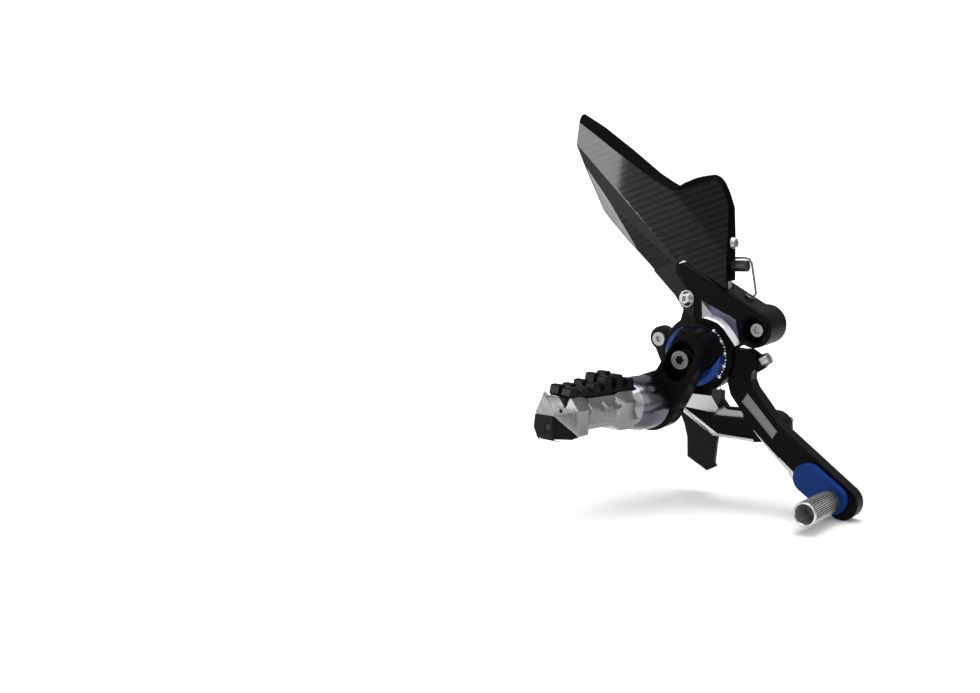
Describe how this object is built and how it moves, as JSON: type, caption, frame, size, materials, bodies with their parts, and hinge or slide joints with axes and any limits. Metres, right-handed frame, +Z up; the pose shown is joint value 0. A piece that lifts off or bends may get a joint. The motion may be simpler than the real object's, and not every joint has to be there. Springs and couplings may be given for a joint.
{
  "type": "motorcycle rear set footrest",
  "caption": "Right-hand rider footrest set: milled bracket with toothed foot peg on an adjustable hub, carbon heel guard and brake pedal with toe peg.",
  "frame": {"origin": "centre of the upper lug's face on the frame side, where the upper frame screw leaves it", "axes": "+X forward along the bike, +Y inboard towards the frame, +Z up; the foot peg points to -Y"},
  "size_m": [0.2262, 0.1721, 0.2565],
  "materials": {
    "anodised_black": "satin anodised",
    "anodised_blue": "satin anodised",
    "bare_aluminium": "milled",
    "tread_black": "satin anodised",
    "carbon": "clear coated twill weave",
    "black_plastic": "matte",
    "steel": "zinc plated",
    "bronze": "sintered"
  },
  "bodies": {
    "frame_side": {"bracket": "anodised_black", "heel_guard": "carbon", "guard_screw": "steel", "guard_front_screw": "steel", "guard_stay": "steel", "stay_screw": "steel", "hose_post": "black_plastic", "wire_clip": "steel", "upper_frame_screw": "steel", "lower_frame_screw": "steel", "pedal_retainer": "steel", "cylinder_plate": "anodised_black", "ear_screw": "steel", "plate_screw_upper": "steel", "plate_screw_lower": "steel"},
    "hub": {"hub_disc": "anodised_blue", "carrier_bolt": "steel", "carrier_washer": "steel", "hub_nut": "steel"},
    "carrier": {"peg_carrier": "anodised_black", "peg_bolt": "steel", "peg_body": "bare_aluminium", "peg_tread": "tread_black", "peg_slider": "tread_black", "slider_screw": "steel"},
    "brake_pedal": {"pedal": "anodised_black", "pedal_bush": "bronze", "adjuster_screw": "steel", "adjuster_nut": "steel"},
    "toe_unit": {"toe_plate": "anodised_blue", "toe_peg": "bare_aluminium", "toe_peg_screw": "steel", "toe_slot_screw": "steel", "toe_slot_washer": "steel"}
  },
  "joints": [
    {"name": "pedal_press", "type": "hinge", "parent": "frame_side", "child": "brake_pedal", "pos_m": [-0.041, -0.0145, -0.0195], "axis": [0, 1, 0], "range_deg": [0, 10], "stiffness_Nm_per_rad": 8, "springref_deg": -8.59},
    {"name": "peg_angle", "type": "hinge", "parent": "frame_side", "child": "hub", "pos_m": [-0.041, -0.036, -0.0195], "axis": [0, 1, 0], "range_deg": [-20, 20]},
    {"name": "peg_slide", "type": "slide", "parent": "hub", "child": "carrier", "axis": [0.4894, 0, 0.8721], "range_m": [-0.003, 0.003]},
    {"name": "toe_reach", "type": "slide", "parent": "brake_pedal", "child": "toe_unit", "axis": [0.7853, 0, -0.6192], "range_m": [0, 0.012]}
  ]
}
